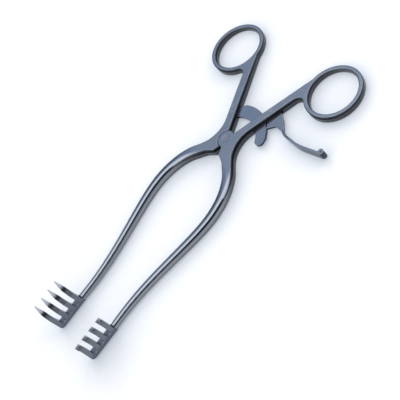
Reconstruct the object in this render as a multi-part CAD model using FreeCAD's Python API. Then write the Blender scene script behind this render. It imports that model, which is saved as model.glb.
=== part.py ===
"""Self retaining retractor, about 200 mm long, with four sharp prongs on each side.

Lengths are in millimetres. The origin is on the pivot's axis, on the flat underside. +Z points up
through the prongs, +Y towards the finger rings, and +X towards the half that carries the lever.
Both halves are drawn as right-hand ones and the left one is mirrored.
"""
import FreeCAD, Part
import math
import os

Vec = FreeCAD.Vector

# Finger rings
ring_bore = 28.0           # inside diameter of a finger ring
ring_bar = 2.5             # width of the ring's bar, seen from above
ring_reach = 60.7          # ring centre, measured along the shank from the pivot
ring_offset = 15.6         # ring centre, measured out from the shank's inner face

# Shanks and joint
splay = 24.0               # angle of a shank's inner face to the middle line, at rest
shank_width = 4.9
joint_height = 5.5         # thickness of the joint and of the arm's root
ring_height = 3.4          # thickness at the far end of the ring
slope_start = -6.0         # the top starts to fall here, towards the ring
boss_radius = 5.3          # round boss of the lap joint
outer_sweep = 17.0         # radius of the hollow outer side beside the joint
edge_break = 0.4           # the bevel that breaks the top and bottom edges
lap_gap = 0.06             # clearance between the two halves in the lap
root_fillet = 4.0          # inside corner between shank and ring

# Arms
root_x, root_y = 13.4, -13.3        # middle of the arm where it leaves the joint
root_heading = -47.0                # direction of the arm there
root_width = 5.8
bow_x, bow_y = 24.1, -39.8          # widest point of the arm's bow
arm_end_x, arm_end_y = 16.1, -113.8
arm_end_size = 4.1                  # the arm is nearly round at the blade
arm_lift = 0.3                      # the arm's foot rises by this much towards the blade
corner_flats = 4                    # flats that make each rounded corner of the arm

# Prong blades
blade_length = 19.9
blade_thickness = 4.2
spine_low, spine_high = 1.1, 3.4    # solid bar below the slots
prong_count = 4
prong_width = 2.7
prong_pitch = 5.55
prong_lead = 0.6           # solid length between the arm and the first prong
prong_height = 19.2
prong_tip = 9.0            # tip's distance out from the inner face
prong_neck = 2.3           # thickness where the hook starts
prong_back = 9.0           # radius of the hook's back
hook_turn = 72.0           # angle that the hook bends through, short of level
tip_width = 0.5            # the sharpened end is this wide and this high
blade_corner = 1.9         # rounding of the blade's free end, at the underside

# Pivot rivet
rivet_radius = 1.5
rivet_head = 1.9
rivet_cone = 0.9
running_gap = 0.05         # radial clearance of a turning fit

# Ratchet
ratchet_inner = 15.2
ratchet_waist = 16.9        # the inner edge's radius near the free end, which is narrower
rack_radius = 22.4         # radius at the bottom of the teeth
tooth_depth = 0.8
tooth_angle = 2.25         # one tooth, as an angle about the pivot
ratchet_low, ratchet_high = 1.3, 2.9
ratchet_end = 65.0         # free end's angle from the middle line, in the rest pose
pawl_angle = 46.5          # the pawl's working face, in the rest pose
slot_gap = 0.06            # clearance over and under the sliding plates
tang_rivet = 0.8           # radius of the two rivets that hold the ratchet

# Release lever
pin_reach, pin_offset = 28.5, 2.45  # lever pin, along and across the shank
pin_radius = 0.9
heel_radius = 2.9          # round end of the lever about its pin
slot_end = 33.6            # end of the slot in the shank
tooth_gap = 0.15           # space between pawl and rack at the foot and crest of a tooth
hook_length = 5.0         # from the teeth out to the lever's inside corner
thumb_reach = 37.0         # from that corner to the rolled thumb end
strip_thickness = 1.25
strip_low, strip_high = 0.5, 5.2
curl_radius = 1.0          # middle of the metal in the rolled thumb end

# Lever spring
spring_pin_reach, spring_pin_offset = 37.4, 1.55
spring_pin_radius = 0.5
leaf_thickness = 0.35
leaf_height = 1.3

turn = math.radians(splay)
lap_height = joint_height / 2
ring_radius = ring_bore / 2 + ring_bar
tooth_tip = rack_radius + tooth_depth


def shank_point(reach, offset, z=0.0):
    """A place on the shank: reach runs from the pivot along the inner face, offset outwards."""
    return Vec(reach * math.sin(turn) + offset * math.cos(turn),
               reach * math.cos(turn) - offset * math.sin(turn), z)


def polar(radius, angle, z=0.0):
    """A place about the pivot, with the angle in degrees from +Y towards +X."""
    return Vec(radius * math.sin(math.radians(angle)), radius * math.cos(math.radians(angle)), z)


def outline(corners, z=0.0):
    """A closed wire of straight lines, with each corner (place, radius) rounded by its radius."""
    ends = []
    count = len(corners)
    for i, (corner, radius) in enumerate(corners):
        here = Vec(corner.x, corner.y, z)
        if radius <= 0:
            ends.append((here, None, here))
            continue
        before, after = corners[i - 1][0], corners[(i + 1) % count][0]
        back = (Vec(before.x, before.y, z) - here).normalize()
        ahead = (Vec(after.x, after.y, z) - here).normalize()
        half = back.getAngle(ahead) / 2
        reach = radius / math.tan(half)
        centre = here + (back + ahead).normalize() * (radius / math.sin(half))
        top = centre + (here - centre).normalize() * radius
        ends.append((here + back * reach, top, here + ahead * reach))
    edges = []
    for i, (start, top, end) in enumerate(ends):
        if top is not None:
            edges.append(Part.Arc(start, top, end).toShape())
        following = ends[(i + 1) % count][0]
        if (following - end).Length > 1e-6:
            edges.append(Part.makeLine(end, following))
    return Part.Wire(edges)


def plate(corners, low, high):
    """A flat plate between two heights."""
    return Part.Face(outline(corners, low)).extrude(Vec(0, 0, high - low))


def drum(radius, low, high, place=Vec(0, 0, 0)):
    """An upright cylinder."""
    return Part.makeCylinder(radius, high - low, Vec(place.x, place.y, low))


def slope_radius():
    """Radius of the long curve that lowers the top side from the joint to the ring's far end."""
    ring_top = ring_reach * math.cos(turn) - ring_offset * math.sin(turn) + ring_radius
    run, fall = ring_top - slope_start, joint_height - ring_height
    return (run ** 2 + fall ** 2) / (2 * fall)


def top_height(y):
    """Height of a half's top side at a distance from the pivot towards the rings."""
    radius = slope_radius()
    run = max(0.0, y - slope_start)
    return joint_height - radius + math.sqrt(radius ** 2 - run ** 2)


def above_top():
    """The space over the curved top side, which is cut away."""
    far, radius = 120.0, slope_radius()
    start = Vec(-far, slope_start, joint_height)
    end = Vec(-far, far, top_height(far))
    middle = (far + slope_start) / 2
    side = Part.Wire([Part.Arc(start, Vec(-far, middle, top_height(middle)), end).toShape(),
                      Part.makeLine(end, Vec(-far, far, 30)),
                      Part.makeLine(Vec(-far, far, 30), Vec(-far, slope_start, 30)),
                      Part.makeLine(Vec(-far, slope_start, 30), start)])
    return Part.Face(side).extrude(Vec(2 * far, 0, 0))


def bar_section(place, heading, width, height, corner):
    """A rectangle across the arm, with rounded corners made of short flats."""
    ahead = Vec(math.cos(math.radians(heading)), math.sin(math.radians(heading)), 0)
    side = Vec(-ahead.y, ahead.x, 0)
    half = width / 2

    def at(across, up):
        return place + side * across + Vec(0, 0, up)

    centres = ((half - corner, corner), (half - corner, height - corner),
               (corner - half, height - corner), (corner - half, corner))
    points = []
    for i, (across, up) in enumerate(centres):
        for k in range(corner_flats + 1):
            angle = math.radians(-90 + 90 * (i + k / corner_flats))
            points.append(at(across + corner * math.cos(angle), up + corner * math.sin(angle)))
    return Part.makePolygon(points + points[:1])


def arm():
    """The bowed arm, from the joint to the prong blade, which turns from flat bar to round bar."""
    start, bow = Vec(root_x, root_y, 0), Vec(bow_x, bow_y, 0)
    end = Vec(arm_end_x, arm_end_y, 0)
    drop = bow_y - arm_end_y
    path = Part.BSplineCurve()
    path.interpolate([start, start * 0.32 + bow * 0.68 + Vec(0.2, 7.4, 0), bow,
                      bow + Vec((arm_end_x - bow_x) * 0.16, -drop * 0.19, 0),
                      bow + Vec((arm_end_x - bow_x) * 0.83, -drop * 0.6, 0),
                      end + Vec(-0.25, drop * 0.14, 0), end])
    stations = 12
    places = path.discretize(Number=stations)
    wires = []
    for i, place in enumerate(places):
        share = i / (stations - 1)
        ahead = path.tangent(path.parameter(place))[0]
        size = root_width + (arm_end_size - root_width) * share ** 0.6
        tall = joint_height + (arm_end_size - joint_height) * share ** 0.8
        corner = edge_break + (0.45 * arm_end_size - edge_break) * share ** 0.8
        degrees = math.degrees(math.atan2(ahead.y, ahead.x))
        if i == 0:
            degrees = root_heading
        if i == stations - 1:
            degrees = -90
        lift = arm_lift * max(0.0, share - 0.4) / 0.6
        foot = Vec(place.x, place.y, lift)
        wires.append(bar_section(foot, degrees, size, tall, corner))
    return Part.makeLoft(wires, True, False)


def ring_centre():
    return shank_point(ring_reach, ring_offset)


def half_blank():
    """One forging before its lap, slot and holes are cut: ring, shank, joint and arm."""
    along = Vec(math.cos(math.radians(root_heading)), math.sin(math.radians(root_heading)), 0)
    outward = Vec(-along.y, along.x, 0)
    root = Vec(root_x, root_y, 0)
    root_out = root + outward * (root_width / 2)
    root_in = root - outward * (root_width / 2)
    mid_ring = ring_bore / 2 + ring_bar / 2
    meet = ring_reach - math.sqrt(mid_ring ** 2 - (ring_offset - shank_width) ** 2)
    # the outer faces of shank and arm would meet in this corner, which is swept hollow
    face = shank_point(0, shank_width)
    down = shank_point(-1, 0)
    det = down.x * along.y - down.y * along.x
    gap = root_out - face
    corner = face + down * ((gap.x * along.y - gap.y * along.x) / det)
    crotch = polar(boss_radius * 1.8, 180 - 15)
    web = plate([(shank_point(ring_reach - 4, 0), 0), (shank_point(boss_radius * 0.4, 0), 0),
                 (polar(boss_radius * 0.4, 180), 0), (polar(boss_radius, 180 - 7), 0),
                 (crotch, 1.0), (root_in - along * 5 - outward * 0.35, 9.0), (root_in, 0),
                 (root_out, 0), (corner, outer_sweep),
                 (shank_point(meet, shank_width), 0)], 0, joint_height)
    body = web.fuse(drum(ring_radius, 0, joint_height, ring_centre()))
    corner_reach = ring_reach - math.sqrt(ring_radius ** 2 - (ring_offset - shank_width) ** 2)
    inside = shank_point(corner_reach, shank_width)
    upright = [e for e in body.Edges if abs(e.tangentAt(e.FirstParameter).z) > 0.99
               and math.hypot(e.CenterOfMass.x - inside.x, e.CenterOfMass.y - inside.y) < 0.2]
    body = body.makeFillet(root_fillet, upright)
    body = body.cut(drum(ring_bore / 2, -1, joint_height + 1, ring_centre()))
    body = body.fuse(drum(boss_radius, 0, joint_height)).cut(above_top()).removeSplitter()
    rims = []
    for edge in body.Edges:
        span = [edge.FirstParameter + (edge.LastParameter - edge.FirstParameter) * k / 4
                for k in range(5)]
        places = [edge.valueAt(u) for u in span]
        at_root = all(abs((p - root).dot(along)) < 0.01 for p in places)
        crease = all(abs(p.y - slope_start) < 0.01 for p in places)
        low = all(abs(p.z) < 1e-4 for p in places)
        high = all(abs(p.z - top_height(p.y)) < 1e-3 for p in places)
        if (low or high) and not at_root and not crease:
            rims.append(edge)
    body = body.makeChamfer(edge_break, rims)
    return body.fuse(arm())


def mirrored(shape):
    return shape.mirror(Vec(0, 0, 0), Vec(1, 0, 0))


def countersink(radius, head, cone, base, up):
    """The tapered seat of a flush rivet head."""
    if up:
        return Part.makeCone(radius, head, cone, Vec(0, 0, base - cone))
    return Part.makeCone(head, radius, cone, Vec(0, 0, base))


def pivot_rivet(grow=0.0, overshoot=0.0):
    """Flush rivet; the same shape, grown, is the hole that it turns in."""
    shaft = drum(rivet_radius + grow, -overshoot, joint_height + overshoot)
    top = countersink(rivet_radius + grow, rivet_head + grow, rivet_cone, joint_height, True)
    foot = countersink(rivet_radius + grow, rivet_head + grow, rivet_cone, 0, False)
    return shaft.fuse(top).fuse(foot)


def ratchet_blank(low, high):
    """A flat curved bar: round outside about the pivot, and narrower towards its free end."""
    start = -60.0
    middle = (start + ratchet_end) / 2

    def inner(share):
        return ratchet_inner + (ratchet_waist - ratchet_inner) * share ** 2

    ends = polar(inner(1), ratchet_end, low), polar(rack_radius, ratchet_end, low)
    nose = polar((inner(1) + rack_radius) / 2, ratchet_end + 8.0, low)
    wire = Part.Wire([
        Part.Arc(polar(rack_radius, start, low), polar(rack_radius, middle, low), ends[1]).toShape(),
        Part.Arc(ends[1], nose, ends[0]).toShape(),
        Part.Arc(ends[0], polar(inner(0.5), middle, low), polar(inner(0), start, low)).toShape(),
        Part.makeLine(polar(inner(0), start, low), polar(rack_radius, start, low))])
    return Part.Face(wire).extrude(Vec(0, 0, high - low))


def left_outer_side():
    """The space beyond the left shank's outer face, which trims the ratchet's tang."""
    far = 90.0
    corners = [(shank_point(-far, shank_width), 0), (shank_point(far, shank_width), 0),
               (shank_point(far, far), 0), (shank_point(-far, far), 0)]
    return mirrored(plate(corners, -5, 15))


def ratchet_bar():
    """Curved rack, concentric with the pivot. Each tooth has a steep face towards its root end
    and a long slope away from it, so that the pawl slides one way and locks the other way."""
    body = ratchet_blank(ratchet_low, ratchet_high)
    first = math.ceil((-splay + 8 - pawl_angle) / tooth_angle)
    last = math.floor((ratchet_end - pawl_angle) / tooth_angle)
    for k in range(first, last):
        steep = pawl_angle + k * tooth_angle
        tooth = [(polar(rack_radius - 0.5, steep), 0), (polar(tooth_tip, steep), 0),
                 (polar(rack_radius, steep + tooth_angle), 0),
                 (polar(rack_radius - 0.5, steep + tooth_angle), 0)]
        body = body.fuse(plate(tooth, ratchet_low, ratchet_high))
    return body.cut(left_outer_side()).removeSplitter()


def flush_rivet(place, radius):
    """A plain rivet, ground flush with both sides of a shank."""
    return drum(radius, 0, joint_height, place).cut(above_top())


def tang_rivet_places():
    step = (rack_radius - ratchet_inner) / 4
    middle = (rack_radius + ratchet_inner) / 2
    places = []
    for reach in (middle - step, middle + step):
        spot = shank_point(reach, shank_width / 2)
        places.append(Vec(-spot.x, spot.y, 0))
    return places


def lever_pin_place():
    return shank_point(pin_reach, pin_offset)


def ribbon(path, thickness, low, high):
    """A strip of even thickness along rounded corners (place, radius), standing on edge."""
    half = thickness / 2
    sides = ([], [])
    for i, (place, radius) in enumerate(path):
        before = path[max(i - 1, 0)][0]
        after = path[min(i + 1, len(path) - 1)][0]
        back = (place - before) if i else (after - place)
        ahead = (after - place) if i < len(path) - 1 else (place - before)
        back, ahead = back.normalize(), ahead.normalize()
        left = (Vec(-back.y, back.x, 0) + Vec(-ahead.y, ahead.x, 0)).normalize()
        mitre = half / max(0.3, left.dot(Vec(-ahead.y, ahead.x, 0)))
        bends_left = back.cross(ahead).z > 0
        for side, sign in zip(sides, (1, -1)):
            grown = radius - half if bends_left == (sign > 0) else radius + half
            side.append((place + left * (sign * mitre), max(grown, 0) if radius else 0))
    return plate(sides[0] + sides[1][::-1], low, high)


def release_lever():
    """Flat pawl plate in the slot, which widens into an upright thumb strip with a rolled end."""
    low, high = ratchet_low, ratchet_high
    pin = lever_pin_place()
    play = 0.35                         # angle left between pawl and tooth
    face = pawl_angle - play
    heel, thumb = heel_radius, thumb_reach
    nose = polar(rack_radius + tooth_gap, face)
    ramp = polar(tooth_tip + tooth_gap, face - tooth_angle)
    throat = polar(tooth_tip + hook_length, face + 0.8)
    exit_low = shank_point(slot_end - 0.35 * heel, 0.9 * shank_width)
    neck = throat + Vec(0.195 * thumb, -0.03 * thumb, 0)
    shoulder = throat + Vec(0.05 * thumb, 0.135 * thumb, 0)
    corners = [(nose, 0.04 * heel), (throat, 0.55 * heel), (neck, 0),
               (neck + Vec(0.07 * heel, 0.2 * heel, 0), 0), (shoulder, 0.85 * heel),
               (exit_low, 0.17 * heel), (pin + shank_point(0.69 * heel, -0.345 * heel), 0.345 * heel),
               (pin + shank_point(-0.9 * heel, -0.41 * heel), 0.52 * heel), (ramp, 0)]
    body = plate(corners, low, high).fuse(drum(0.74 * heel, low, high, pin))
    start = throat + Vec(0.054 * thumb, 0.054 * thumb, 0)
    end = throat + Vec(thumb, -0.06 * thumb, 0)
    roll = curl_radius
    path = [(start, 0), (throat + Vec(0.27 * thumb, -0.062 * thumb, 0), 0.32 * thumb),
            (throat + Vec(0.595 * thumb, -0.108 * thumb, 0), 0.81 * thumb), (end, 0)]
    strip = ribbon(path, strip_thickness, strip_low, strip_high)
    places = ((0, low), (0.11, low), (0.3, strip_low), (1.6, strip_low), (1.6, strip_high),
              (0.35, strip_high), (0.11, high), (0, high))
    side = [Vec(start.x + share * thumb, -50, z) for share, z in places]
    shape = Part.Face(Part.makePolygon(side + side[:1])).extrude(Vec(0, 120, 0))
    rolled = end + Vec(0, roll, 0)
    tube = drum(roll + strip_thickness / 2, strip_low, strip_high, rolled)
    hollow = drum(roll - strip_thickness / 2, -1, 2 * strip_high, rolled)
    body = body.fuse(strip.common(shape)).fuse(tube).cut(hollow)
    return body.cut(drum(pin_radius + running_gap, -1, joint_height, pin)).removeSplitter()


def lever_spring():
    """Leaf spring: an eye round its pin and a blade that presses on the lever's heel."""
    middle = (ratchet_low + ratchet_high) / 2
    low, high = middle - leaf_height / 2, middle + leaf_height / 2
    pin = shank_point(spring_pin_reach, spring_pin_offset)
    eye = drum(spring_pin_radius + leaf_thickness, low, high, pin)
    edge = spring_pin_offset - spring_pin_radius - leaf_thickness
    blade = plate([(shank_point(spring_pin_reach, edge), 0),
                   (shank_point(spring_pin_reach, edge + leaf_thickness), 0),
                   (shank_point(pin_reach + 1.0, edge + leaf_thickness - 0.45), 0),
                   (shank_point(pin_reach + 1.0, edge - 0.45), 0)], low, high)
    return eye.fuse(blade).cut(drum(spring_pin_radius, -1, 9, pin))


def shank_slot():
    """Slot through the right shank for ratchet and lever, and the blind pocket of the spring."""
    low, high = ratchet_low - slot_gap, ratchet_high + slot_gap
    through = plate([(shank_point(ratchet_inner * 0.95, -3), 0),
                     (shank_point(slot_end, -3), 0),
                     (shank_point(slot_end, shank_width + 3), 0),
                     (shank_point(ratchet_inner * 0.95, shank_width + 3), 0)], low, high)
    pocket_end = spring_pin_reach + spring_pin_radius + leaf_thickness + 0.3
    pocket_side = spring_pin_offset + spring_pin_radius + leaf_thickness + 0.1
    pocket = plate([(shank_point(slot_end - 1, -3), 0), (shank_point(pocket_end, -3), 0),
                    (shank_point(pocket_end, pocket_side), 0),
                    (shank_point(slot_end - 1, pocket_side), 0)], low, high)
    return through.fuse(pocket)


def prong_blade():
    """Blade with its spine and four hooked prongs, drawn at the end of the right arm."""
    inner = arm_end_x - arm_end_size / 2
    start = arm_end_y
    end = start - blade_length
    spine = plate([(Vec(inner, start, 0), 0), (Vec(inner + blade_thickness, start, 0), 0),
                   (Vec(inner + blade_thickness, end, 0), 0), (Vec(inner, end, 0), 0)],
                  spine_low, spine_high)
    bend = math.radians(hook_turn)
    reach = prong_back * (1 - math.cos(bend))
    climb = prong_back * math.sin(bend) + (prong_tip - reach) / math.tan(bend)
    rise = prong_height - climb
    centre = Vec(prong_back, 0, rise)
    halfway = Vec(-math.cos(bend / 2), 0, math.sin(bend / 2))
    over = Vec(reach, 0, rise + prong_back * math.sin(bend))
    over_mid = centre + halfway * prong_back
    tip = Vec(prong_tip, 0, prong_height)
    tip_foot = Vec(prong_tip, 0, prong_height - tip_width)
    throat = Vec(prong_neck, 0, rise - 0.22 * prong_neck)
    under = centre + halfway * (prong_back - 0.72 * prong_neck)
    foot = spine_high + 0.33 * prong_neck
    profile = Part.Wire([
        Part.makeLine(Vec(0, 0, spine_low), Vec(0, 0, rise)),
        Part.Arc(Vec(0, 0, rise), over_mid, over).toShape(),
        Part.makeLine(over, tip), Part.makeLine(tip, tip_foot),
        Part.Arc(tip_foot, under, throat).toShape(),
        Part.makeLine(throat, Vec(blade_thickness, 0, foot)),
        Part.makeLine(Vec(blade_thickness, 0, foot), Vec(blade_thickness, 0, spine_low)),
        Part.makeLine(Vec(blade_thickness, 0, spine_low), Vec(0, 0, spine_low))])
    prong = Part.Face(profile).extrude(Vec(0, -prong_width, 0))
    middle = -prong_width / 2
    taper = [Vec(-1, 0, -1), Vec(prong_neck * 1.33, 0, -1), Vec(prong_tip, middle + tip_width / 2, -1),
             Vec(prong_tip, middle - tip_width / 2, -1), Vec(prong_neck * 1.33, -prong_width, -1),
             Vec(-1, -prong_width, -1)]
    cheeks = Part.Face(Part.makePolygon(taper + taper[:1])).extrude(Vec(0, 0, 30))
    upright = rise - 0.4 * prong_back
    low_part = Part.makeBox(3 * blade_thickness, prong_width, upright, Vec(-1, -prong_width, -1))
    prong = prong.common(cheeks.fuse(low_part))
    if not prong.isValid() or prong.Volume < prong_width * prong_neck * rise / 2:
        raise ValueError("the prong's outline crosses itself: check prong_back, prong_tip and hook_turn")
    blade = spine
    for k in range(prong_count):
        one = prong.copy()
        one.translate(Vec(inner, start - prong_lead - k * prong_pitch, 0))
        if k == prong_count - 1:
            keep = plate([(Vec(inner - 1, start, 0), 0), (Vec(inner + 20, start, 0), 0),
                          (Vec(inner + 20, end, 0), 0), (Vec(inner - 1, end, 0), 0)], -1, 30)
            one = one.common(keep)
        blade = blade.fuse(one)
    blade = blade.removeSplitter()
    low_end = [e for e in blade.Edges
               if all(abs(v.Y - end) < 1e-3 and abs(v.Z - spine_low) < 1e-3 for v in e.Vertexes)]
    return blade.makeFillet(blade_corner, low_end)


def build():
    """Make every piece in its place and return them by node name."""
    blank = half_blank()
    reach = boss_radius + lap_gap
    hole = pivot_rivet(running_gap, 1.0)

    right = blank.cut(drum(reach, -1, lap_height + lap_gap / 2)).cut(hole)
    right = right.cut(shank_slot())
    lever_pin = flush_rivet(lever_pin_place(), pin_radius)
    spring_pin = flush_rivet(shank_point(spring_pin_reach, spring_pin_offset), spring_pin_radius)
    right = right.cut(lever_pin).cut(spring_pin)

    rivet = pivot_rivet().cut(above_top())
    left = mirrored(blank).cut(drum(reach, lap_height - lap_gap / 2, joint_height + 1)).cut(rivet)
    ratchet = ratchet_bar()
    left = left.cut(ratchet)
    inner_rivet, outer_rivet = [flush_rivet(p, tang_rivet) for p in tang_rivet_places()]
    ratchet = ratchet.cut(inner_rivet).cut(outer_rivet)
    left = left.cut(inner_rivet).cut(outer_rivet)

    blade = prong_blade()
    return {
        "left_half": left,
        "right_half": right,
        "left_prong_blade": mirrored(blade),
        "right_prong_blade": blade,
        "pivot_rivet": rivet,
        "ratchet_bar": ratchet,
        "ratchet_rivet_inner": inner_rivet,
        "ratchet_rivet_outer": outer_rivet,
        "release_lever": release_lever(),
        "lever_pin": lever_pin,
        "lever_spring": lever_spring(),
        "lever_spring_pin": spring_pin,
    }


def main():
    os.makedirs("parts", exist_ok=True)
    for node, shape in build().items():
        solids = shape.Solids
        print("%-20s solids %d valid %s volume %.1f mm3" % (
            node, len(solids), shape.isValid(), shape.Volume))
        shape.exportStep("parts/%s.step" % node)


main()
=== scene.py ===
# %% [markdown]
# # A self retaining retractor on a white table
#
# The retractor is made in CAD, as twelve steel pieces that turn and slide on each other. This lesson
# gives it its finish, its light and its picture. The CAD pieces are never moved or reshaped here:
# they come in as a frame, and each one only gets a material.
#
# Everything is in metres, with +Z up, +Y towards the finger rings and the origin under the pivot.

# %% The frame
import bpy
import math
from mathutils import Matrix, Quaternion, Vector


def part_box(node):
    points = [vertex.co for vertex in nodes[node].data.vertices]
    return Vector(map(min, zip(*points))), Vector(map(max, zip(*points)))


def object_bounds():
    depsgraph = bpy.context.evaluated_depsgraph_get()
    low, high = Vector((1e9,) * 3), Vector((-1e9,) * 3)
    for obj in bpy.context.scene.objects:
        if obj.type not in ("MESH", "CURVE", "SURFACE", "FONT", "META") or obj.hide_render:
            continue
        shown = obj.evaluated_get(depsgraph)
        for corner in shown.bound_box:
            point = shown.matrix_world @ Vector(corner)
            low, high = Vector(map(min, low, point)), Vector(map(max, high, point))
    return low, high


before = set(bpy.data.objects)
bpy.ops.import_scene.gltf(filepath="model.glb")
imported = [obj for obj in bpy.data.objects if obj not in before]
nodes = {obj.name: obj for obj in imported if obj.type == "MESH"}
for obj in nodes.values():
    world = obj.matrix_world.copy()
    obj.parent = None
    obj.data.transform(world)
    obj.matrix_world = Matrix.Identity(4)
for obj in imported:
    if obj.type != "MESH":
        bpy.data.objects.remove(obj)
cad_low, cad_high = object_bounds()

# %% [markdown]
# ## Places that the finishes follow
#
# A finish changes along the real instrument. The rings and shanks are satin, and the arms were
# polished on a felt wheel. The places where that happens are read from the frame, so that they
# follow the CAD part when one of its sizes changes.

# %% Places
blade_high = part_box("right_prong_blade")[1]
rack_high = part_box("ratchet_bar")[1]
underside = cad_low.z
blade_start = blade_high.y
arm_length = -blade_start
# Between these two heights a wall's painted shade changes from the colour at its foot to the one under its
# rim.
wall_foot = 0.2 * rack_high.z      # up to this height a wall has the colour of its foot
wall_top = 1.35 * rack_high.z      # and from this one the colour under its rim
print("blade starts at y %.1f mm, prongs reach z %.1f mm" % (1000 * blade_start, 1000 * blade_high.z))

# %% [markdown]
# ## Three small helpers
#
# Colours are easiest to write as they look on a screen, in hex, but the renderer works with linear
# light. One function turns the first into the second. Another adds a node, sets its plain values and
# joins its sockets, which keeps each material short enough to read. The third puts a material on CAD
# pieces and remembers which ones have had theirs.

# %% Helpers
finished = []


def colour(text):
    """A hex colour as seen on a screen, as linear light."""
    parts = [int(text[i:i + 2], 16) / 255 for i in (1, 3, 5)]
    return [p / 12.92 if p <= 0.04045 else ((p + 0.055) / 1.055) ** 2.4 for p in parts] + [1.0]


def add(tree, kind, values=None, joins=None, **settings):
    """Adds a node. values are plain numbers by socket, joins are outputs of other nodes."""
    node = tree.nodes.new("ShaderNode" + kind)
    for key, value in settings.items():
        setattr(node, key, value)
    for key, value in (values or {}).items():
        node.inputs[key].default_value = value
    for key, output in (joins or {}).items():
        tree.links.new(output, node.inputs[key])
    return node


def put_on(material, *names):
    """Gives CAD pieces a material, in place of the one that they came with."""
    for name in names:
        nodes[name].data.materials.clear()
        nodes[name].data.materials.append(material)
        finished.append(name)


print("a mid grey of #808080 is %.3f in linear light" % colour("#808080")[0])

# %% [markdown]
# ## Steel
#
# All pieces are stainless steel, but they leave the workshop with different finishes. A metal has
# no colour of its own beyond the tint of its reflections, so the finish is nearly all roughness:
# how far the surface blurs what it mirrors.
#
# Three things make it look worked and not computed:
#
# * fine scratches that run along the piece, from the abrasive belt. They are a noise stretched
#   along one axis, used as a very low bump. Real ones are a few hundredths of a millimetre wide, too
#   fine for this picture, so they are drawn about ten times as coarse.
# * cloudy patches in the roughness, from handling and cleaning.
# * edges that are slightly broken. The Bevel node bends the normals near an edge over a given
#   radius, so a thin highlight runs along it without any extra geometry.
#
# Two more things are colour, and both are painted shade. The flat sides are ground and keep the
# steel's tint, but the upright walls are painted darker, darkest under the rim, as the shade and the
# dark room that a crowned wall shows there; the normal's Z tells one from the other. Steel is also
# painted darker where two pieces meet and where it stands on the table, as shade that light doesn't
# get into, with residue in the crevices: the Ambient Occlusion node finds those places.

# %% The steel maker
# Painted shade for crevices between pieces and along the table contact, with residue in the crevices.
crevice_shade = "#15171b"
patch_scale = 140.0             # patches about 7 mm across
noise_spread = (0.3, 0.7)       # nearly all values of a noise lie between these
open_spread = (0.2, 0.7)        # share of open air, from the darkest painted shade to unshaded steel
scratch_strength = 0.30
bevel_samples = 14
open_samples = 6


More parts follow.
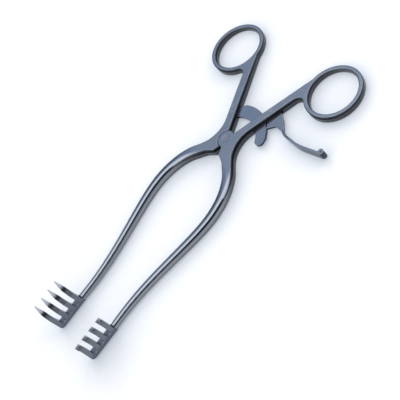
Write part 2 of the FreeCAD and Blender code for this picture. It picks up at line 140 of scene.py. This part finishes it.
def steel(name, tint, wall, rough, grain, depth, edge, patches=0.02, slope=(0.25, 0.85), shade_reach=0.0016,
          polish=None, line=None):
    """A worked steel finish.

    tint is the colour of flat sides, wall the two colours of painted shade on an upright
    wall, at its foot and under its top edge, rough is the roughness and patches how far it varies.
    grain is the size of the scratches along X, Y and Z and depth their height, in metres. edge is
    the radius of the broken edges and slope the normal's Z at which a wall's painted shade ends and
    the flat side's tint starts. shade_reach is how far from another surface the steel's painted
    shade starts. polish is for a piece that was polished at one end: from y, to y, the roughness
    and the wall's painted shade there. line is the centre line of a bar that was rolled round at
    that end, as points (y, x, z).
    """
    material = bpy.data.materials.new(name)
    material.use_nodes = True
    tree = material.node_tree
    tree.nodes.clear()
    place = add(tree, "TexCoord").outputs["Object"]
    axis = add(tree, "SeparateXYZ", joins={"Vector": place})

    stretch = add(tree, "Mapping", {"Scale": [1 / size for size in grain]}, {"Vector": place})
    scratch = add(tree, "TexNoise", {"Scale": 1.0, "Detail": 1.0, "Roughness": 0.5},
                  {"Vector": stretch.outputs["Vector"]})
    cloud = add(tree, "TexNoise", {"Scale": patch_scale, "Detail": 1.0, "Roughness": 0.5},
                {"Vector": place})

    facing = add(tree, "SeparateXYZ", joins={"Vector": add(tree, "TexCoord").outputs["Normal"]})
    upward = add(tree, "Math", joins={0: facing.outputs["Z"]}, operation="ABSOLUTE")
    flat = add(tree, "MapRange", {"From Min": slope[0], "From Max": slope[1]},
               {"Value": upward.outputs["Value"]})
    # Painted shade: upright walls get darker colours than the flat sides, changing with height up to the
    # rim.
    height = add(tree, "MapRange", {"From Min": wall_foot, "From Max": wall_top},
                 {"Value": axis.outputs["Z"]})
    side = add(tree, "MixRGB", {"Color1": colour(wall[0]), "Color2": colour(wall[1])},
               {"Fac": height.outputs["Result"]})

    level = add(tree, "MapRange", {"From Min": noise_spread[0], "From Max": noise_spread[1],
                                   "To Min": rough - patches, "To Max": rough + patches},
                {"Value": cloud.outputs["Fac"]})
    roughness, flank = level.outputs["Result"], side.outputs["Color"]
    if polish:
        # On the polished stretch the walls get a lighter painted shade, polish[3].
        along = add(tree, "MapRange", {"From Min": polish[0], "From Max": polish[1]},
                    {"Value": axis.outputs["Y"]}, interpolation_type="SMOOTHSTEP").outputs["Result"]
        smooth = add(tree, "Mix", {"B": polish[2]}, {"Factor": along, "A": roughness})
        polished_wall_shade = add(tree, "MixRGB", {"Color2": colour(polish[3])}, {"Fac": along, "Color1": flank})
        roughness, flank = smooth.outputs["Result"], polished_wall_shade.outputs["Color"]

    bevel = add(tree, "Bevel", {"Radius": edge}, samples=bevel_samples)
    normal = bevel.outputs["Normal"]
    if line:
        sharp = add(tree, "Math", {0: 1.0}, {1: along}, operation="SUBTRACT")
        radius = add(tree, "Math", {1: edge}, {0: sharp.outputs["Value"]}, operation="MULTIPLY")
        tree.links.new(radius.outputs["Value"], bevel.inputs["Radius"])
        normal = crown(tree, axis, along, line, normal)
    bump = add(tree, "Bump", {"Strength": scratch_strength, "Distance": depth},
               {"Height": scratch.outputs["Fac"], "Normal": normal})

    # Painted shade: the steel turns towards crevice_shade where little open air is near, between pieces and
    # along the table.
    open_air = add(tree, "AmbientOcclusion", {"Distance": shade_reach}, samples=open_samples)
    meet = add(tree, "MapRange", {"From Min": open_spread[0], "From Max": open_spread[1]},
               {"Value": open_air.outputs["AO"]})
    tint_and_wall_shade = add(tree, "MixRGB", {"Color2": colour(tint)}, {"Fac": flat.outputs["Result"], "Color1": flank})
    paint = add(tree, "MixRGB", {"Color1": colour(crevice_shade)},
                {"Fac": meet.outputs["Result"], "Color2": tint_and_wall_shade.outputs["Color"]})

    surface = add(tree, "BsdfPrincipled", {"Metallic": 1.0},
                  {"Base Color": paint.outputs["Color"], "Roughness": roughness,
                   "Normal": bump.outputs["Normal"]})
    add(tree, "OutputMaterial", joins={"Surface": surface.outputs["BSDF"]})
    print("%-16s roughness %.2f, edges %.2f mm" % (name, rough, 1000 * edge))
    return material


# %% [markdown]
# ## Crowned bars
#
# A belt rolls over an upright wall, so a forging's wall is never quite straight: just under the rim
# it leans back and mirrors the dark room, and further down it mirrors the table. The arms were even
# rolled nearly round. Where a surface only looks round, its normals are enough. They bend outwards
# from the bar's centre line, by a Bump node whose height falls with the square of the distance from
# that line. For a bar with half-thickness r, a height of minus distance squared over 2r makes every
# normal point straight out from the centre, whatever the section's corners are.
#
# The centre line is read from the mesh: a plane cuts the right arm at a few places along Y, and the
# middle of each cut is a point of the line. The left arm is its mirror image, so the size of X serves
# both. A Float Curve node holds the line, in parts of its largest value.

# %% The centre line
arm_cuts = 14
first_cut, last_cut = 0.97, 0.07      # in parts of the arm's length from the pivot


def cut_at(mesh, y):
    """The middle of a mesh where the plane at y cuts it, as x and z."""
    cut = []
    for rim in mesh.edges:
        a, b = (mesh.vertices[i].co for i in rim.vertices)
        if (a.y - y) * (b.y - y) < 0:
            cut.append(a.lerp(b, (y - a.y) / (b.y - a.y)))
    xs, zs = [c.x for c in cut], [c.z for c in cut]
    return (min(xs) + max(xs)) / 2, (min(zs) + max(zs)) / 2


arm_line = []
for i in range(arm_cuts):
    y = blade_start * (first_cut + (last_cut - first_cut) * i / (arm_cuts - 1))
    arm_line.append((y, *cut_at(nodes["right_half"].data, y)))
print("the arm's middle runs from x %.1f, z %.1f to x %.1f, z %.1f mm"
      % tuple(1000 * s for s in arm_line[-1][1:] + arm_line[0][1:]))

# %% The crown
wall_roll = 1.7      # how much more a wall of the shanks and rings leans than a round bar's would
half = 0.5           # turns distance squared over r into distance squared over 2r


def crown(tree, axis, along, line, normal):
    """Bends the normals out from a centre line: on walls everywhere, and on top by the factor along."""
    start, end = line[0][0], line[-1][0]
    step = add(tree, "MapRange", {"From Min": start, "From Max": end}, {"Value": axis.outputs["Y"]})
    across = add(tree, "Math", joins={0: axis.outputs["X"]}, operation="ABSOLUTE")
    squares = []
    for place, which in ((across.outputs["Value"], 1), (axis.outputs["Z"], 2)):
        most = max(point[which] for point in line)
        centre = add(tree, "FloatCurve", joins={"Value": step.outputs["Result"]})
        curve = centre.mapping.curves[0]
        for end_point, point in zip(curve.points, (line[0], line[-1])):
            end_point.location = ((point[0] - start) / (end - start), point[which] / most)
        for point in line[1:-1]:
            curve.points.new((point[0] - start) / (end - start), point[which] / most)
        centre.mapping.update()
        middle = add(tree, "Math", {1: most}, {0: centre.outputs["Value"]}, operation="MULTIPLY")
        away = add(tree, "Math", joins={0: place, 1: middle.outputs["Value"]}, operation="SUBTRACT")
        squares.append(add(tree, "Math", {1: 2.0}, {0: away.outputs["Value"]}, operation="POWER"))

    sideways = add(tree, "Math", joins={0: squares[0].outputs["Value"], 1: along}, operation="MULTIPLY")
    rolled = add(tree, "MapRange", {"To Min": wall_roll, "To Max": 1.0}, {"Value": along})
    upright = add(tree, "Math", joins={0: squares[1].outputs["Value"], 1: rolled.outputs["Result"]},
                  operation="MULTIPLY")
    both = add(tree, "Math", joins={0: sideways.outputs["Value"], 1: upright.outputs["Value"]})
    thick = add(tree, "Math", {1: underside}, {0: middle.outputs["Value"]}, operation="SUBTRACT")
    ratio = add(tree, "Math", joins={0: both.outputs["Value"], 1: thick.outputs["Value"]},
                operation="DIVIDE")
    bent = add(tree, "Bump", {"Strength": 1.0, "Distance": half},
               {"Height": ratio.outputs["Value"], "Normal": normal}, invert=True)
    return bent.outputs["Normal"]


print("walls of the shanks lean %.1f times as much as a round bar's" % wall_roll)

# %% [markdown]
# ## The forgings
#
# Each half is one forging. Its flat sides were drawn over a fine belt along the shank, which leaves
# a satin grain: it mirrors the room's colour but none of its outlines. The arms were polished after
# that, so that tissue slides off them: their roughness falls over the first stretch below the joint
# and then stays low, and the stripes they mirror turn crisp.

# %% Forging steel
polish_from = -0.10 * arm_length
polish_to = -0.30 * arm_length
# Its walls are painted shade: grey at the foot, nearly black under the rim, lighter on the polished arms.
forging = steel("forging_satin", tint="#a6adb7", wall=("#77797d", "#1e2023"), rough=0.27,
                grain=(0.0004, 0.008, 0.0004), depth=0.0000015, edge=0.0006, slope=(0.65, 0.96),
                polish=(polish_from, polish_to, 0.13, "#909398"), line=arm_line)
put_on(forging, "left_half", "right_half")

# %% [markdown]
# ## The prong blades
#
# The blades were milled and then bead blasted, which leaves an even, duller grey than the arms.
# Their grain runs up the prongs. The difference in finish is what shows, in the photograph, that the
# blade is a piece of its own.

# %% Blade steel
# Its walls are painted a shade darker than its flat sides.
blade = steel("blade_blasted", tint="#a3a9b1", wall=("#6a6e75", "#747880"), rough=0.28,
              grain=(0.0005, 0.0005, 0.004), depth=0.000003, edge=0.0004, slope=(0.70, 0.97), shade_reach=0.004)
put_on(blade, "left_prong_blade", "right_prong_blade")

# %% [markdown]
# ## Ratchet and lever
#
# The rack and the lever are hardened, and their walls are painted a darker shade than their flat
# sides. The lever was buffed, because a thumb rests on it, so it mirrors the room more clearly.

# %% Hardened steel
# Their walls are painted a darker shade than the flat sides, darkest under the rim.
hardened = steel("hardened_steel", tint="#a6afbb", wall=("#595e66", "#3f444b"), rough=0.22,
                 grain=(0.003, 0.003, 0.0004), depth=0.000002, edge=0.00012, slope=(0.45, 0.90))
lever = steel("lever_polished", tint="#b0b5bd", wall=("#595e66", "#3f444b"), rough=0.15,
              grain=(0.003, 0.003, 0.0004), depth=0.000001, edge=0.00025, slope=(0.45, 0.90))
put_on(hardened, "ratchet_bar")
put_on(lever, "release_lever")

# %% [markdown]
# ## Pins and spring
#
# The small flush rivets were ground together with the shank and share its finish, so they hardly
# show. The pivot's rivet, of a warmer steel, shows as a faint round spot. The leaf spring is
# polished strip, the brightest piece.

# %% Pins and spring
# Their walls are painted a shade darker than their flat sides.
rivet = steel("rivet_steel", tint="#a7a8b0", wall=("#77797d", "#5a5d63"), rough=0.32,
              grain=(0.0004, 0.006, 0.0004), depth=0.000003, edge=0.00008)
leaf = steel("spring_steel", tint="#b4bac2", wall=("#8a9099", "#8a9099"), rough=0.18,
             grain=(0.002, 0.002, 0.0004), depth=0.000002, edge=0.00005)
put_on(forging, "ratchet_rivet_inner", "ratchet_rivet_outer", "lever_pin")
put_on(rivet, "pivot_rivet", "lever_spring_pin")
put_on(leaf, "lever_spring")
print("finished", len(finished), "of", len(nodes), "pieces")

# %% [markdown]
# ## The table
#
# The photograph's ground is pure white with a soft shadow close to the steel. White has to come
# from the table and not from stronger lamps, which would bleach the steel as well. So the table is a
# pale diffuse surface that takes the shadow, and rays from the camera or from a mirror-like surface
# find a little light added to it, just enough to reach white where nothing shades it.
#
# The shadow in the photograph is wide and faint, wider than a thin bar could throw. The Ambient
# Occlusion node with a long reach measures how much of the sky a point on the table misses, and a
# power makes that small loss visible as a blue-grey halo.

# %% The table
table_size = 60.0         # so wide that no view shows its edge
table_gap = 0.00002       # keeps its face clear of the steel's flat underside
bpy.ops.mesh.primitive_plane_add(size=table_size, location=(0, 0, 0))
table = bpy.context.object
table.name = "table"
table.data.transform(Matrix.Translation((0, 0, underside - table_gap)))
print("the table is %.0f m wide, %.2f mm under the steel" % (table_size, 1000 * table_gap))

# %% The table's white
table_light = 0.54        # the light that is added for rays that see the table
halo_reach = 0.07
halo_power = 12.0
halo_samples = 16

white = bpy.data.materials.new("white_table")
white.use_nodes = True
tree = white.node_tree
tree.nodes.clear()
rays = add(tree, "LightPath")
mirrored = add(tree, "Math", joins={0: rays.outputs["Is Glossy Ray"],
                                    1: rays.outputs["Is Transmission Ray"]}, operation="MAXIMUM")
seen = add(tree, "Math", joins={0: rays.outputs["Is Camera Ray"], 1: mirrored.outputs["Value"]},
           operation="MAXIMUM")
lift = add(tree, "Math", {1: table_light}, {0: seen.outputs["Value"]}, operation="MULTIPLY")
sky = add(tree, "AmbientOcclusion", {"Distance": halo_reach}, samples=halo_samples)
halo = add(tree, "Math", {1: halo_power}, {0: sky.outputs["AO"]}, operation="POWER")
tone = add(tree, "MixRGB", {"Color1": colour("#cdd6e4"), "Color2": colour("#ffffff")},
           {"Fac": halo.outputs["Value"]})
glow = add(tree, "Emission", joins={"Color": tone.outputs["Color"], "Strength": lift.outputs["Value"]})
matt = add(tree, "BsdfDiffuse", {"Color": colour("#b5b4b3")})
both = add(tree, "AddShader", joins={0: glow.outputs["Emission"], 1: matt.outputs["BSDF"]})
add(tree, "OutputMaterial", joins={"Surface": both.outputs["Shader"]})
table.data.materials.append(white)
print("the halo starts %.0f mm from the steel" % (1000 * halo_reach))

# %% [markdown]
# ## The room
#
# Polished steel shows the room more than it shows itself, so the room is drawn first. Across a round
# arm the photograph shows four stripes: blue-grey, white, black and grey. Each is a part of the room,
# met in turn as the surface bends from facing up to facing the camera: the far side, the soft light
# overhead, the dark side where the camera stands, and the table. So the room changes with one angle,
# measured from overhead towards +X, and a ramp holds its colours.
#
# Two parts of it serve the other views. The light is a little weaker straight overhead, or the flat
# sides would be bleached when seen from above. Low down, below the dark side, the room is grey
# again, or the instrument would turn black when seen from behind. The camera itself sees none of
# this, but a plain white backdrop.

# %% The room
room_light = 1.6
stops = [
    (0.00, "#505a66"), (0.12, "#717d8f"), (0.20, "#7a8699"), (0.28, "#818da0"),
    (0.35, "#fafbff"), (0.47, "#e8ebf0"), (0.53, "#e8ebf0"), (0.61, "#ffffff"),
    (0.66, "#15171b"), (0.80, "#15171b"),
    (0.87, "#a2a9b3"), (1.00, "#a9b0ba"),
]
world = bpy.data.worlds.new("room")
bpy.context.scene.world = world
world.use_nodes = True
tree = world.node_tree
tree.nodes.clear()
direction = add(tree, "TexCoord").outputs["Generated"]
part = add(tree, "SeparateXYZ", joins={"Vector": direction})
lean = add(tree, "Math", joins={0: part.outputs["X"], 1: part.outputs["Z"]}, operation="ARCTAN2")
across = add(tree, "MapRange", {"From Min": -math.pi / 2, "From Max": math.pi / 2},
             {"Value": lean.outputs["Value"]})
bands = add(tree, "ValToRGB", joins={"Fac": across.outputs["Result"]})
ramp = bands.color_ramp
ramp.elements[0].position, ramp.elements[1].position = stops[0][0], stops[-1][0]
for place, _ in stops[1:-1]:
    ramp.elements.new(place)
for element, (place, text) in zip(sorted(ramp.elements, key=lambda e: e.position), stops):
    element.color = colour(text)
room = add(tree, "Background", {"Strength": room_light}, {"Color": bands.outputs["Color"]})
backdrop = add(tree, "Background", {"Color": colour("#ffffff"), "Strength": 1.0})
world_rays = add(tree, "LightPath")
shown = add(tree, "MixShader", joins={0: world_rays.outputs["Is Camera Ray"], 1: room.outputs["Background"],
                                      2: backdrop.outputs["Background"]})
add(tree, "OutputWorld", joins={"Surface": shown.outputs["Shader"]})
print("the room has", len(ramp.elements), "colours")

# %% [markdown]
# ## The lamps
#
# Two lamps light the table and shape the shadow on it: a soft one overhead, and a window across the
# table from the camera, as wide as daylight through a large pane. The steel doesn't mirror them,
# because the room already holds the bright part that it should show, and a lamp on top of that would
# bleach it.

# %% The lamps


def hang(name, kind, place, aim, power, text, **settings):
    """A lamp of the given kind that looks from a place at a point."""
    data = bpy.data.lights.new(name, kind)
    data.energy, data.color = power, colour(text)[:3]
    for key, value in settings.items():
        setattr(data, key, value)
    lamp = bpy.data.objects.new(name, data)
    lamp.location = place
    lamp.rotation_mode = "QUATERNION"
    lamp.rotation_quaternion = (aim - place).to_track_quat("-Z", "Y")
    lamp.visible_glossy = False
    bpy.context.scene.collection.objects.link(lamp)
    return lamp


middle = (cad_low + cad_high) / 2
overhead_place = middle + Vector((-0.10, 0.10, 0.75))
window_place = middle + Vector((-0.84, 0.26, 0.47))
window_width = math.radians(40)
lamps = [hang("overhead", "AREA", overhead_place, middle, 0.6, "#ffffff", size=0.45),
         hang("window", "SUN", window_place, middle, 2.0, "#eef4ff", angle=window_width)]
print("lamps:", [lamp.name for lamp in lamps])

# %% [markdown]
# ## The camera
#
# The photograph was taken from the lever's side, looking down, with a long lens. Where the camera
# stood was worked out from the photograph once, because both halves of the instrument are the same
# shape mirrored. It is written here as a place, the point it looks at and how far it was rolled.

# %% The camera
camera_place = Vector((0.3573, -0.0684, 0.3591))
camera_aim = Vector((0.0073, -0.0345, 0.0))
camera_roll = math.radians(-48.5)
camera_lens, camera_film = 85.45, 36.0      # in millimetres, as on a real camera
nearest, farthest = 0.02, 10.0
data = bpy.data.cameras.new("camera")
data.lens, data.sensor_width = camera_lens, camera_film
data.clip_start, data.clip_end = nearest, farthest
camera = bpy.data.objects.new("camera", data)
bpy.context.scene.collection.objects.link(camera)
camera.location = camera_place
camera.rotation_mode = "QUATERNION"
level_view = (camera_aim - camera_place).to_track_quat("-Z", "Y")
camera.rotation_quaternion = level_view @ Quaternion((0, 0, 1), camera_roll)
bpy.context.scene.camera = camera
bpy.context.scene.view_settings.view_transform = "Standard"
print("the camera stands %.0f mm from the pivot" % (1000 * camera_place.length))
